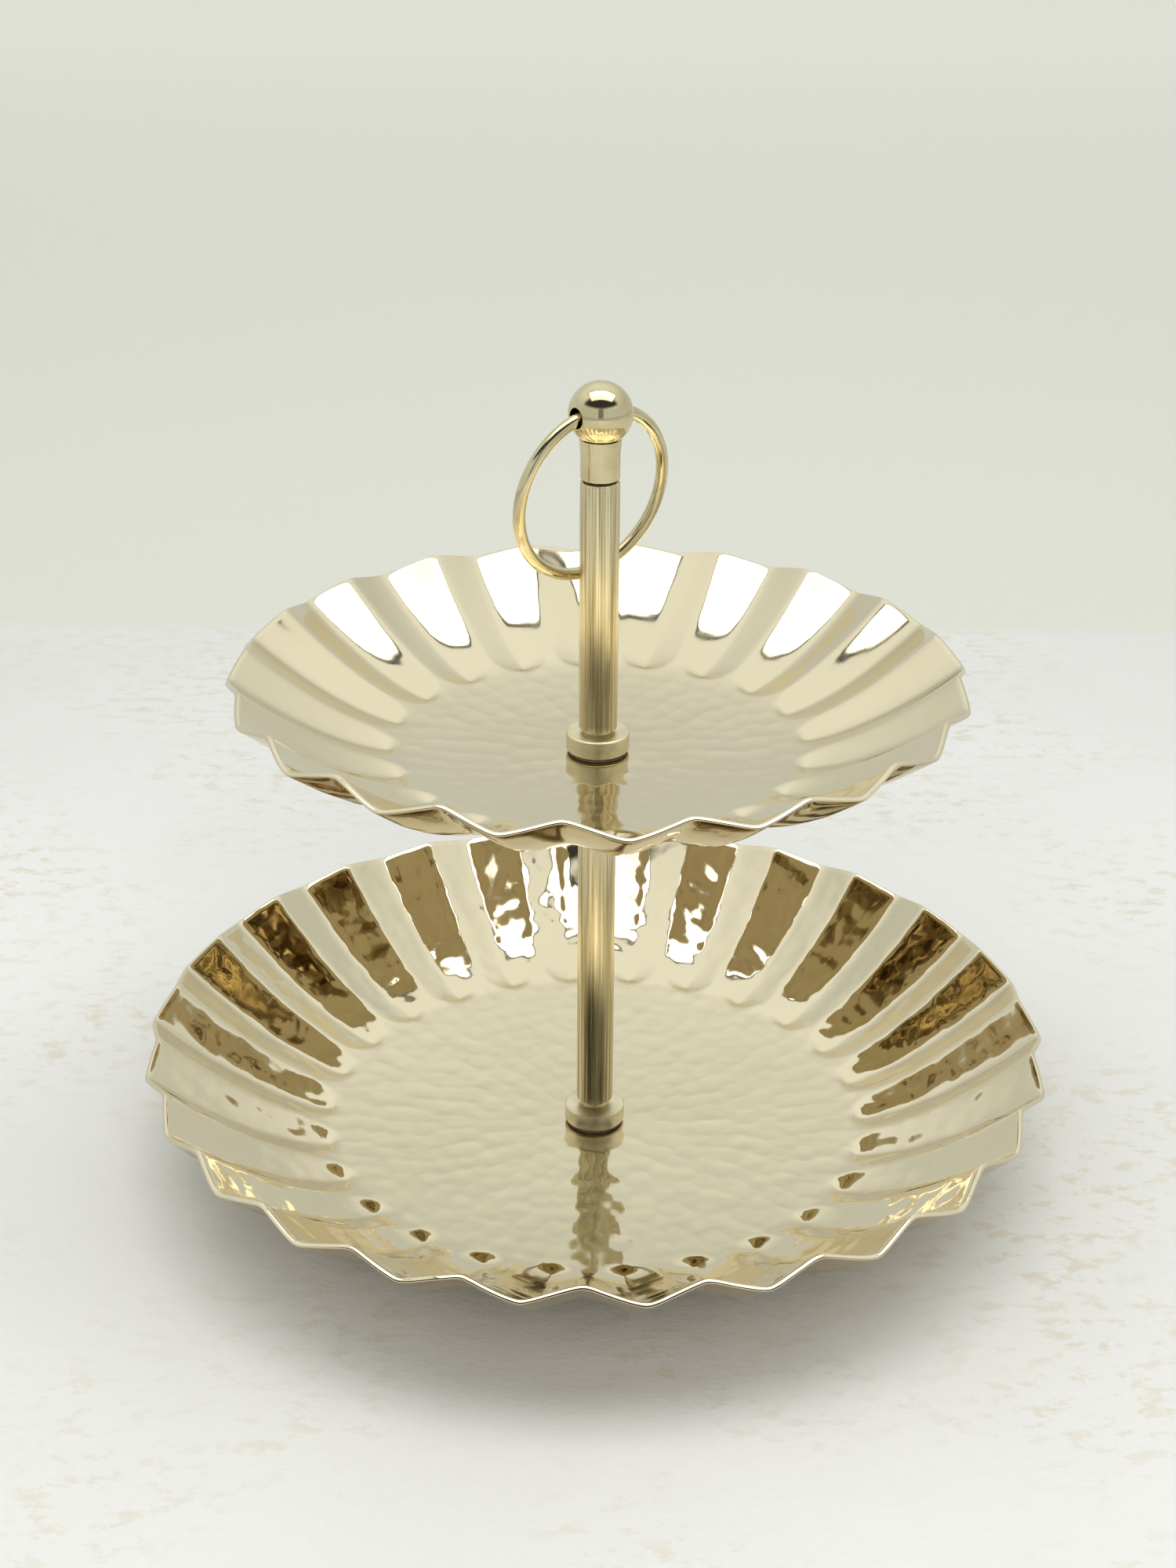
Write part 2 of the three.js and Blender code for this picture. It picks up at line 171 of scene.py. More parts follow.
def add_object(name, data):
    obj = bpy.data.objects.new(name, data)
    bpy.context.scene.collection.objects.link(obj)
    return obj


def mesh_object(name, vertices, faces):
    """A smooth mesh object from points in millimetres."""
    mesh = bpy.data.meshes.new(name)
    mesh.from_pydata((np.asarray(vertices) * MM).tolist(), [], faces)
    mesh.validate()
    mesh.shade_smooth()
    return add_object(name, mesh)


def grid_faces(rings, around):
    """Quads of a grid whose rings hold the same number of points and whose last ring meets the first."""
    ring, step = np.meshgrid(np.arange(rings), np.arange(around), indexing="ij")
    after = (ring + 1) % rings
    beside = (step + 1) % around
    corners = [ring * around + step, after * around + step, after * around + beside, ring * around + beside]
    return np.stack(corners, axis=-1).reshape(-1, 4).tolist()


def piece(obj, body, nodes, material):
    """Puts a finished object on its body, in place of its CAD nodes."""
    obj.data.materials.append(material)
    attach(obj, body)
    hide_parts(*nodes)
    return obj


# ---- Trays ----------------------------------------------------------------------------------------------

def tray_profile(tray, radius):
    """Height and slope of the floor and the line of the ridges at each radius."""
    floor = tray["underside"] + SHEET
    toe = tray["toe_radius"]
    share = np.minimum(radius, toe) / toe
    height = floor + tray["floor_rise"] * share ** FLOOR_DISH_POWER
    slope = FLOOR_DISH_POWER * tray["floor_rise"] * share ** (FLOOR_DISH_POWER - 1) / toe
    reach = tray["ridge_radius"] - toe
    toe_slope = FLOOR_DISH_POWER * tray["floor_rise"] / toe
    curved = tray["ridge_rise"] - tray["floor_rise"] - toe_slope * reach
    out = np.maximum(radius - toe, 0)
    height = height + toe_slope * out + curved * (out / reach) ** tray["wall_power"]
    slope = slope + curved * tray["wall_power"] * (out / reach) ** (tray["wall_power"] - 1) / reach
    return height, slope


def channel_shape(across):
    """Depth across a channel, from 0 on the ridges (across -1 and 1) to 1 in the middle.

    The sides are nearly flat and the corners blunt.
    """
    wave = np.arcsin(FLUTE_SHARPNESS * np.cos(math.pi * across))
    return 0.5 + 0.5 * wave / math.asin(FLUTE_SHARPNESS)


def channel_depth(tray, radius, across):
    """Depth of the channels under the ridge surface. Each one's inner end is round."""
    half_width = math.pi * radius / tray["flutes"]
    from_toe = radius - tray["toe_radius"]
    toe_share = np.clip(from_toe / half_width, 0, 1)
    width = np.sqrt(1 - (1 - toe_share) ** 2)
    place = np.abs(across) / np.maximum(width, NARROWEST)
    share = np.clip(from_toe / (tray["ridge_radius"] - tray["toe_radius"]), 0, 1)
    depth = tray["toe_depth"] + (tray["rim_depth"] - tray["toe_depth"]) * share
    sink = 1 - np.exp(-((np.maximum(from_toe, 0) / TOE_ROUNDING) ** 2))
    return np.where(place < 1, depth * sink * channel_shape(np.minimum(place, 1)), 0)


def waves(azimuth, count, lowest, highest, size):
    """A smooth random function of azimuth, made of a few sine waves."""
    total = np.zeros_like(azimuth)
    for _ in range(count):
        turns = int(rng.integers(lowest, highest))
        total += np.sin(turns * azimuth + rng.uniform(0, 2 * math.pi)) * rng.uniform(*WAVE_STRENGTH)
    return size * total / math.sqrt(count)


def dimple_centres(tray):
    """Places and strengths of the hammer blows, in rough circles from the middle of the floor to the rim."""
    centres = []
    radius = FIRST_DIMPLE_RADIUS
    while radius < tray["ridge_radius"] - RIM_MARGIN:
        count = max(FEWEST_DIMPLES, round(2 * math.pi * radius / DIMPLE_PITCH))
        start = rng.uniform(0, 2 * math.pi)
        for i in range(count):
            shift = rng.uniform(-DIMPLE_SHIFT_ROUND, DIMPLE_SHIFT_ROUND)
            azimuth = start + 2 * math.pi * (i + shift) / count
            out = radius + rng.uniform(-DIMPLE_SHIFT_OUT, DIMPLE_SHIFT_OUT)
            centres.append((out * math.cos(azimuth), out * math.sin(azimuth), rng.uniform(*DIMPLE_STRENGTH)))
        radius += DIMPLE_PITCH * DIMPLE_ROW_PITCH
    return np.array(centres)


def hammering(tray, points):
    """Depth of the hammer marks at points on the sheet: overlapping shallow bowls."""
    depth = np.zeros(len(points))
    for x, y, strength in dimple_centres(tray):
        near = np.abs(points[:, 0] - x) < DIMPLE_RADIUS
        near &= np.abs(points[:, 1] - y) < DIMPLE_RADIUS
        spot = np.nonzero(near)[0]
        gap = ((points[spot, :2] - (x, y)) ** 2).sum(axis=1) / DIMPLE_RADIUS ** 2
        depth[spot] = np.maximum(depth[spot], strength * (1 - gap))
    radius = np.hypot(points[:, 0], points[:, 1])
    on_wall = np.clip((radius - tray["toe_radius"] + TOE_BLEND) / (2 * TOE_BLEND), 0, 1)
    return np.maximum(depth, 0) * (tray["floor_hammering"] * (1 - on_wall) + tray["wall_hammering"] * on_wall)


def tray_sheet(tray):
    """Rings of points over the top, round the lip and back underneath, with the handmade unevenness."""
    around = tray["flutes"] * tray["per_flute"]
    step = np.arange(around)
    flute = step // tray["per_flute"]
    even = 2 * (step % tray["per_flute"]) / tray["per_flute"] - 1
    across = even - CORNER_CROWDING * np.sin(2 * math.pi * even) / (2 * math.pi)
    azimuth = tray["phase"] + 2 * math.pi * (flute + (across + 1) / 2) / tray["flutes"]
    reach = tray["ridge_radius"] - LIP_BULGE * SHEET / 2
    floor = np.linspace(SCREW_HOLE, tray["toe_radius"], tray["floor_rings"], endpoint=False)
    wall = np.linspace(tray["toe_radius"], reach, tray["wall_rings"])
    under = np.linspace(reach, SCREW_HOLE, tray["under_rings"])
    turn = np.linspace(0, math.pi, LIP_STEPS + 2)[1:-1]
    radii = np.concatenate([floor, wall, np.full(LIP_STEPS, reach), under])
    on_top = np.zeros(len(floor) + len(wall))
    offset = np.concatenate([on_top, SHEET / 2 * (1 - np.cos(turn)), np.full(len(under), SHEET)])
    lip = LIP_BULGE * SHEET / 2 * np.sin(turn) + LIP_TILT * SHEET / 2 * (1 - np.cos(turn))
    bulge = np.concatenate([on_top, lip, np.zeros(len(under))])
    radius, place = np.meshgrid(radii, across, indexing="ij")
    angle = np.broadcast_to(azimuth, radius.shape)
    height, slope = tray_profile(tray, radius)
    lean = np.arctan(slope)
    share = np.clip((radius - tray["toe_radius"]) / (reach - tray["toe_radius"]), 0, 1)
    swing = waves(azimuth, count=7, lowest=3, highest=2 * tray["flutes"] // 3, size=RIM_SWING)
    lift = waves(azimuth, count=6, lowest=2, highest=tray["flutes"], size=RIM_LIFT)
    push = channel_depth(tray, radius, place) + offset[:, None] + lift * share ** 2
    along = bulge[:, None]
    out = radius + push * np.sin(lean) + along * np.cos(lean)
    z = height - push * np.cos(lean) + along * np.sin(lean)
    angle = angle + swing * share
    smooth_sheet = np.stack([out * np.cos(angle), out * np.sin(angle), z], axis=-1).reshape(-1, 3)
    marks = hammering(tray, smooth_sheet).reshape(radius.shape)
    marks = marks * np.clip((reach - radius) / RIM_MARGIN, 0, 1)
    marks = marks * (1 + (UNDERSIDE_HAMMERING - 1) * (offset[:, None] >= SHEET))
    marks = marks * np.clip((radius - CLAMPED_RADIUS) / CLAMPED_FADE, 0, 1)
    out = out + marks * np.sin(lean)
    z = z - marks * np.cos(lean)
    return np.stack([out * np.cos(angle), out * np.sin(angle), z], axis=-1), len(radii), around


def make_tray(node, body, material):
    tray = TRAYS[node]
    points, rings, around = tray_sheet(tray)
    obj = mesh_object(node.replace("tray", "dish"), points.reshape(-1, 3), grid_faces(rings, around))
    return piece(obj, body, [node], material)


# ---- Turned pieces --------------------------------------------------------------------------------------

def rounded(outline, size, closed):
    """The outline with each corner away from the axis replaced by a short arc."""
    points = [Vector(p) for p in outline]
    result = []
    for i, here in enumerate(points):
        if not closed and i in (0, len(points) - 1):
            result.append(here)
            continue
        before = points[i - 1] - here
        after = points[(i + 1) % len(points)] - here
        if before.angle(-after) < CLEAR_CORNER:
            result.append(here)
            continue
        cut = min(size, before.length * CORNER_SHARE, after.length * CORNER_SHARE)
        start = here + before.normalized() * cut
        end = here + after.normalized() * cut
        for share in CORNER_STEPS:
            result.append(start * (1 - share) ** 2 + here * 2 * share * (1 - share) + end * share ** 2)
    return result


def turned(name, outline, fillet=FILLET, segments=COLUMN_SEGMENTS):
    """A turned mesh about Z. The axis closes an outline that starts on it, any other is a closed ring."""
    closed = outline[0][0] > 0
    points = rounded(outline, fillet, closed)
    vertices = []
    rings = []
    for point in points:
        count = 1 if point.x < ON_AXIS else segments
        rings.append(range(len(vertices), len(vertices) + count))
        for i in range(count):
            angle = 2 * math.pi * i / segments
            vertices.append((point.x * math.cos(angle), point.x * math.sin(angle), point.y))
    faces = []
    followers = rings[1:] + rings[:1] if closed else rings[1:]
    for low, high in zip(rings, followers):
        for i in range(segments):
            j = (i + 1) % segments
            corners = [low[i % len(low)], low[j % len(low)], high[j % len(high)], high[i % len(high)]]
            faces.append(list(dict.fromkeys(corners)))
    obj = mesh_object(name, vertices, faces)
    obj.data.set_sharp_from_angle(angle=SHARP_EDGE)
    return obj


def tube_outline(inner, outer, bottom, top):
    return [(inner, bottom), (outer, bottom), (outer, top), (inner, top)]


def node_levels(node):
    """Lowest and highest level of a CAD node, in millimetres."""
    low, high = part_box(node)
    return low.z / MM, high.z / MM


def make_collar(node, body, material):
    base, spigot_top = node_levels(node)
    top = base + COLLAR_HEIGHT
    neck_top = spigot_top - SPIGOT_LENGTH
    bore_top = base + COLLAR_BORE_DEPTH
    outline = [
        (0, bore_top), (TAPPED_RADIUS, bore_top), (TAPPED_RADIUS, base),
        (COLLAR_RADIUS - CHAMFER, base), (COLLAR_RADIUS, base + CHAMFER),
        (COLLAR_RADIUS, top - CHAMFER), (COLLAR_RADIUS - CHAMFER, top),
        (NECK_RADIUS, top), (NECK_RADIUS, neck_top), (SPIGOT_RADIUS, neck_top + SPIGOT_STEP),
        (SPIGOT_RADIUS, spigot_top), (0, spigot_top),
    ]
    return piece(turned(node + "_turned", outline), body, [node], material)


def make_tube(node, body, material):
    bottom, top = node_levels(node)
    outline = tube_outline(TUBE_BORE, TUBE_RADIUS, bottom, top)
    obj = turned(node + "_drawn", outline, fillet=TUBE_END_ROUND)
    return piece(obj, body, [node], material)


def make_washer(node, radius, body, material):
    bottom, top = node_levels(node)
    obj = turned(node + "_ring", tube_outline(WASHER_HOLE, radius, bottom, top), fillet=WASHER_ROUND)
    return piece(obj, body, [node], material)


def make_tube_seat(material):
    bottom, top = node_levels("tube_seat")
    seat_bottom = top - SEAT_HEIGHT
    bore_bottom = bottom + SEAT_BORE_FLOOR
    outline = [
        (0, bottom), (SPIGOT_RADIUS, bottom), (SPIGOT_RADIUS, seat_bottom),
        (SEAT_RADIUS - CHAMFER, seat_bottom), (SEAT_RADIUS, seat_bottom + CHAMFER), (SEAT_RADIUS, top),
        (TAPPED_RADIUS, top), (TAPPED_RADIUS, bore_bottom), (0, bore_bottom),
    ]
    obj = turned("tube_seat_turned", outline)
    return piece(obj, "lower_column", ["tube_seat"], material)


def make_shank(material):
    """Spigot below, V-groove chamfer, slight flare and the hollow that cups the ball."""
    cup_radius = BALL_RADIUS + CUP_GAP
    cup_start = math.asin(SHANK_TOP_RADIUS / cup_radius)
    cup = []
    for i in range(CUP_STEPS + 1):
        angle = cup_start * (1 - i / CUP_STEPS)
        cup.append((cup_radius * math.sin(angle), BALL_HEIGHT - cup_radius * math.cos(angle)))
    spigot_end = SHANK_BOTTOM - SHANK_SPIGOT_LENGTH
    outline = [
        (0, spigot_end), (SHANK_SPIGOT_RADIUS, spigot_end), (SHANK_SPIGOT_RADIUS, SHANK_BOTTOM),
        (TUBE_RADIUS - GROOVE_CHAMFER, SHANK_BOTTOM), (TUBE_RADIUS, SHANK_BOTTOM + GROOVE_CHAMFER),
    ]
    outline += [(TUBE_RADIUS + wider, SHANK_BOTTOM + rise) for wider, rise in SHANK_FLARE]
    outline += cup
    obj = turned("finial_shank_turned", outline, fillet=SHANK_FILLET)
    return piece(obj, "upper_column", ["finial_shank"], material)


def make_ball(material):
    """The drilled ball, turned about the axis of its cross hole."""
    edge = math.asin(BALL_HOLE / BALL_RADIUS)
    arc = [edge + (math.pi - 2 * edge) * i / BALL_STEPS for i in range(BALL_STEPS + 1)]
    outline = [(BALL_RADIUS * math.sin(a), -BALL_RADIUS * math.cos(a)) for a in arc]
    obj = turned("finial_ball_drilled", outline, fillet=BALL_FILLET)
    along = Vector((math.cos(RING_AZIMUTH), math.sin(RING_AZIMUTH), 0))
    turn = along.to_track_quat("Z", "Y").to_matrix().to_4x4()
    obj.data.transform(Matrix.Translation((0, 0, BALL_HEIGHT * MM)) @ turn)
    return piece(obj, "upper_column", ["finial_ball"], material)


def make_ring(material):
    """The round-wire ring, leaning on the back of the column."""
    hole = Vector((math.cos(RING_AZIMUTH), math.sin(RING_AZIMUTH), 0))
    lean_side = Vector((-hole.y, hole.x, 0))
    down = Vector((0, 0, -math.cos(RING_LEAN))) + lean_side * math.sin(RING_LEAN)
    half_arc = math.asin(BALL_RADIUS / RING_RADIUS)
    arc_rise = RING_RADIUS * (1 - math.cos(half_arc)) / 2
    centre = Vector((0, 0, BALL_HEIGHT)) + down * (RING_RADIUS - arc_rise)
    side = hole.cross(down)
    vertices = []
    for i in range(RING_STEPS):
        turn = 2 * math.pi * i / RING_STEPS
        spoke = hole * math.cos(turn) + down * math.sin(turn)
        for j in range(WIRE_STEPS):
            angle = 2 * math.pi * j / WIRE_STEPS
            out = spoke * math.cos(angle) + side * math.sin(angle)
            vertices.append(centre + spoke * RING_RADIUS + out * RING_WIRE)
    faces = [face[::-1] for face in grid_faces(RING_STEPS, WIRE_STEPS)]
    obj = mesh_object("ring_handle_wire", vertices, faces)
    return piece(obj, "ring", ["ring_handle"], material)


def make_pad(index, material):
    node = f"foot_pad_{index}"
    low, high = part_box(node)
    middle = (low + high) / 2
    top = high.z / MM - PAD_CLEARANCE
    outline = [
        (0, 0), (PAD_RADIUS - PAD_EDGE, 0), (PAD_RADIUS, PAD_EDGE),
        (PAD_SHOULDER_RADIUS, top - CHAMFER), (PAD_TOP_RADIUS, top), (0, top),
    ]
    obj = turned(node + "_moulded", outline, fillet=PAD_ROUND, segments=PAD_SEGMENTS)
    obj.data.transform(Matrix.Translation((middle.x, middle.y, 0)))
    return piece(obj, "base", [node], material)


def make_screw(material):
    """Button-head screw with a round socket. Plain rings stand for its thread."""
    bottom, top = node_levels("base_screw")
    head_top = bottom + SCREW_HEAD
    thread = []
    level = head_top + THREAD_START
    while level < top - SCREW_PITCH:
        thread += [(THREAD_ROOT, level), (THREAD_CREST, level + SCREW_PITCH / 2)]
        level += SCREW_PITCH
    socket_bottom = bottom + SCREW_SOCKET_DEPTH
    socket_inner, socket_mouth = SCREW_SOCKET_RADII
    outline = [(0, socket_bottom), (socket_inner, socket_bottom), (socket_mouth, bottom)]
    outline += [(radius, bottom + rise) for radius, rise in SCREW_HEAD_DOME]
    outline += [(SCREW_HEAD_RADIUS, head_top - SCREW_HEAD_EDGE), (SCREW_HEAD_RADIUS, head_top)]
    outline += [(SCREW_NECK_RADIUS, head_top)] + thread + [(SCREW_TIP_RADIUS, top), (0, top)]
    obj = turned("base_screw_threaded", outline, fillet=THREAD_FILLET)
    return piece(obj, "base", ["base_screw"], material)


# ---- Materials ------------------------------------------------------------------------------------------

# Bump distances are in metres, and the scale of a noise is in features per metre.
LOWER_TRAY_DENTS = 0.0003
UPPER_TRAY_DENTS = 0.00004
SIDE_BLEND = 0.05  # a tray's face changes to the painted shade of its underside while its normal's Z is this near to 0
ROUGHNESS_SPREAD = 1.9  # a turned piece's roughest patches, against its smoothest

PALE_BRASS = (0.88, 0.81, 0.62, 1)
WARM_BRASS = (0.70, 0.62, 0.41, 1)
DEEP_BRASS = (0.54, 0.45, 0.25, 1)
# Painted shade: the darker, browner tones a tray takes where its faces point down. The pale ones are for the
# faces that point up.
UNDERSIDE_SHADE_TONES = ((0.46, 0.36, 0.19, 1), (0.56, 0.45, 0.26, 1))
BRIGHT_TRAY = ((0.68, 0.60, 0.425, 1), (0.715, 0.635, 0.46, 1))
COLUMN_STREAKS = ((0.44, 0.35, 0.18, 1), (0.90, 0.82, 0.58, 1))
ZINC = ((0.50, 0.50, 0.50, 1), (0.68, 0.68, 0.69, 1))
GASKET_RUBBER = ((0.07, 0.05, 0.03, 1), (0.14, 0.10, 0.06, 1))
PAD_RUBBER = ((0.03, 0.03, 0.03, 1), (0.06, 0.06, 0.06, 1))
BLACK_CLOTH = ((0.012, 0.012, 0.012, 1), (0.03, 0.03, 0.03, 1))


def node_material(name):
    material = bpy.data.materials.new(name)
    material.use_nodes = True
    nodes = material.node_tree.nodes
    return material, nodes, material.node_tree.links, nodes["Principled BSDF"]


def noise_texture(nodes, links, scale, stretch=(1, 1, 1), detail=3.0, roughness=0.5):
    """Noise in the object's own coordinates, stretched along the axes whose factor is small."""
    place = nodes.new("ShaderNodeTexCoord")
    mapping = nodes.new("ShaderNodeMapping")
    mapping.inputs["Scale"].default_value = stretch
    noise = nodes.new("ShaderNodeTexNoise")
    noise.inputs["Scale"].default_value = scale
    noise.inputs["Detail"].default_value = detail
    noise.inputs["Roughness"].default_value = roughness
    links.new(place.outputs["Object"], mapping.inputs["Vector"])
    links.new(mapping.outputs["Vector"], noise.inputs["Vector"])
    return noise.outputs["Fac"]


def ramp(nodes, links, factor, low, high, start=0.3, end=0.7):
    """Two colours or greys blended by a factor."""
    node = nodes.new("ShaderNodeValToRGB")
    first, last = node.color_ramp.elements
    first.position, first.color = start, low
    last.position, last.color = end, high
    links.new(factor, node.inputs["Fac"])
    return node.outputs["Color"]


def grey(value):
    return (value, value, value, 1)


def bump(nodes, links, height, distance, normal=None):
    node = nodes.new("ShaderNodeBump")
    node.inputs["Distance"].default_value = distance
    node.inputs["Strength"].default_value = 1
    links.new(height, node.inputs["Height"])
    if normal is not None:
        links.new(normal, node.inputs["Normal"])
    return node.outputs["Normal"]


def map_range(nodes, links, value, start, end, smooth=False, top=1.0):
    """Runs from 0, where the value is at start, to top, where it is at end."""
    node = nodes.new("ShaderNodeMapRange")
    if smooth:
        node.interpolation_type = "SMOOTHSTEP"
    node.inputs["From Min"].default_value = start
    node.inputs["From Max"].default_value = end
    node.inputs["To Max"].default_value = top
    links.new(value, node.inputs["Value"])
    return node.outputs["Result"]


def calculated(nodes, links, operation, *values):
    node = nodes.new("ShaderNodeMath")
    node.operation = operation
    for socket, value in zip(node.inputs, values):
        links.new(value, socket)
    return node.outputs[0]


def mixed(nodes, links, factor, first, second):
    """Two colours mixed by a factor. Each is a plain colour or the output of a node."""
    node = nodes.new("ShaderNodeMix")
    node.data_type = "RGBA"
    links.new(factor, node.inputs["Factor"])
    for socket, colour in (("A", first), ("B", second)):
        if isinstance(colour, tuple):
            node.inputs[socket].default_value = colour
        else:
            links.new(colour, node.inputs[socket])
    return node.outputs["Result"]


def coordinates(nodes, links, kind):
    """The X, Y and Z outputs of one kind of texture coordinate."""
    place = nodes.new("ShaderNodeTexCoord")
    split = nodes.new("ShaderNodeSeparateXYZ")
    links.new(place.outputs[kind], split.inputs["Vector"])
    return split.outputs


def tray_metal(name, dents):
    """Polished pale brass with hairline scratches. Faces that point down get a darker, browner base colour,
    which is painted shade for the undersides.
    """
    material, nodes, links, shader = node_material(name)
    tone = noise_texture(nodes, links, scale=14, detail=4)
    facing_up = coordinates(nodes, links, "Normal")["Z"]
    upper_side = map_range(nodes, links, facing_up, -SIDE_BLEND, SIDE_BLEND)
    # Painted shade: faces that point down take the darker, browner tones.
    painted_underside_shade = ramp(nodes, links, tone, *UNDERSIDE_SHADE_TONES)
    bright = ramp(nodes, links, tone, *BRIGHT_TRAY)
    links.new(mixed(nodes, links, upper_side, painted_underside_shade, bright), shader.inputs["Base Color"])
    smear = noise_texture(nodes, links, scale=42, detail=5, roughness=0.65)
    links.new(ramp(nodes, links, smear, grey(0.045), grey(0.10)), shader.inputs["Roughness"])
    soft = bump(nodes, links, noise_texture(nodes, links, scale=120, detail=1), distance=dents)
    hair = noise_texture(nodes, links, scale=900, stretch=(1, 0.06, 0.3), detail=2)
    links.new(bump(nodes, links, hair, distance=0.000004, normal=soft), shader.inputs["Normal"])
    shader.inputs["Metallic"].default_value = 1
    return material


def column_metal():
    """Drawn brass tube, brushed lengthwise in darker and paler streaks, with deeper single scratches."""
    material, nodes, links, shader = node_material("brushed_column_brass")
    tone = noise_texture(nodes, links, scale=1700, stretch=(1, 1, 0.010), detail=4, roughness=0.6)
    streaks = ramp(nodes, links, tone, *COLUMN_STREAKS, start=0.36, end=0.64)
    links.new(streaks, shader.inputs["Base Color"])
    smear = noise_texture(nodes, links, scale=300, stretch=(1, 1, 0.03), detail=3)
    links.new(ramp(nodes, links, smear, grey(0.26), grey(0.42)), shader.inputs["Roughness"])
    brush = noise_texture(nodes, links, scale=1400, stretch=(1, 1, 0.012), detail=3)
    fine = bump(nodes, links, brush, distance=0.00022)
    deep = noise_texture(nodes, links, scale=380, stretch=(1, 1, 0.02), detail=1)
    groove = ramp(nodes, links, deep, grey(0), grey(1), start=0.28, end=0.42)
    links.new(bump(nodes, links, groove, distance=0.00006, normal=fine), shader.inputs["Normal"])
    shader.inputs["Metallic"].default_value = 1
    return material


def turned_metal(name, roughness, stretch, dark, light):
    """Turned and polished brass. The stretch sets which way the fine tool marks run."""
    material, nodes, links, shader = node_material(name)
    tone = noise_texture(nodes, links, scale=90, detail=4)
    links.new(ramp(nodes, links, tone, dark, light), shader.inputs["Base Color"])
    smear = noise_texture(nodes, links, scale=160, detail=5)
    rough = ramp(nodes, links, smear, grey(roughness), grey(roughness * ROUGHNESS_SPREAD))
    links.new(rough, shader.inputs["Roughness"])
    marks = noise_texture(nodes, links, scale=1500, stretch=stretch, detail=2)
    soft = bump(nodes, links, noise_texture(nodes, links, scale=220, detail=2), distance=0.00003)
    links.new(bump(nodes, links, marks, distance=0.00001, normal=soft), shader.inputs["Normal"])
    shader.inputs["Metallic"].default_value = 1
    return material


def steel():
    material, nodes, links, shader = node_material("zinc_screw_steel")
    tone = noise_texture(nodes, links, scale=240, detail=4)
    links.new(ramp(nodes, links, tone, *ZINC), shader.inputs["Base Color"])
    links.new(ramp(nodes, links, tone, grey(0.28), grey(0.42)), shader.inputs["Roughness"])
    shader.inputs["Metallic"].default_value = 1
    return material


def rubber(name, dark, light):
    material, nodes, links, shader = node_material(name)
    grain = noise_texture(nodes, links, scale=900, detail=4)
    links.new(ramp(nodes, links, grain, dark, light), shader.inputs["Base Color"])
    links.new(ramp(nodes, links, grain, grey(0.6), grey(0.85)), shader.inputs["Roughness"])
    links.new(bump(nodes, links, grain, distance=0.0001), shader.inputs["Normal"])
    return material


# ---- The studio -----------------------------------------------------------------------------------------

# Places and sizes in the studio are in metres.
FLOOR_REACH = 6.0
TABLE_BACK = 0.462  # where the table meets the darker backdrop
TABLE_EDGE = (TABLE_BACK - 0.004, TABLE_BACK + 0.010)
BACKDROP_FADE = 2.6  # the backdrop's tone gets paler up to here, as less light reaches it
PLASTER = ((0.725, 0.72, 0.70, 1), (0.80, 0.795, 0.785, 1))
FLECK_TONE = (0.66, 0.59, 0.46, 1)
FLECK_STRENGTH = 0.62
BACKDROP = ((0.73, 0.72, 0.655, 1), (1, 0.985, 0.91, 1))


def table_material():
    """Pale plaster-like table, faintly mottled, with the backdrop's duller tone past its back edge."""
    material, nodes, links, shader = node_material("pale_table")
    cloud = noise_texture(nodes, links, scale=3.5, detail=6)
    base = ramp(nodes, links, cloud, *PLASTER)
    fleck = noise_texture(nodes, links, scale=150, stretch=(0.6, 1, 1), detail=6, roughness=0.7)
    patch = noise_texture(nodes, links, scale=9, detail=5)
    flecks = ramp(nodes, links, fleck, grey(0), grey(1), start=0.52, end=0.60)
    patches = ramp(nodes, links, patch, grey(0), grey(FLECK_STRENGTH), start=0.42, end=0.62)
    spots = calculated(nodes, links, "MULTIPLY", flecks, patches)
    flecked = mixed(nodes, links, spots, base, FLECK_TONE)
    depth = coordinates(nodes, links, "Object")["Y"]
    beyond = map_range(nodes, links, depth, *TABLE_EDGE)
    far = map_range(nodes, links, depth, TABLE_BACK, BACKDROP_FADE)
    backdrop = ramp(nodes, links, far, *BACKDROP, start=0, end=1)
    links.new(mixed(nodes, links, beyond, flecked, backdrop), shader.inputs["Base Color"])
    shader.inputs["Roughness"].default_value = 0.75
    shader.inputs["Specular IOR Level"].default_value = 0.2
    links.new(bump(nodes, links, fleck, distance=0.0004), shader.inputs["Normal"])
    return material


def make_floor():
    corners = [(-FLOOR_REACH, -FLOOR_REACH, 0), (FLOOR_REACH, -FLOOR_REACH, 0),
               (FLOOR_REACH, FLOOR_REACH, 0), (-FLOOR_REACH, FLOOR_REACH, 0)]
    mesh = bpy.data.meshes.new("floor")
    mesh.from_pydata(corners, [], [(0, 1, 2, 3)])
    mesh.materials.append(table_material())
    floor = add_object("floor", mesh)


# The room's light by the X, Y and Z of the direction it comes from.
ROOM_TONES = ((0.74, 0.775, 0.75, 1), (1.12, 1.16, 1.12, 1))
ROOM_RISE = (0.36, 0.80)  # the Z over which the room's tone goes from the first to the second
DARK_TONE = (0.05, 0.05, 0.05, 1)
DARK_FRONT = (-0.04, -0.32)  # the Y over which the dark sets in towards the front
DARK_HEIGHT = (0.44, 0.60)  # the Z over which it sets in upwards
FIGURE_SIDE = (0.20, 0.12)  # how far aside the photographer reaches
FIGURE_STRENGTH = 0.7


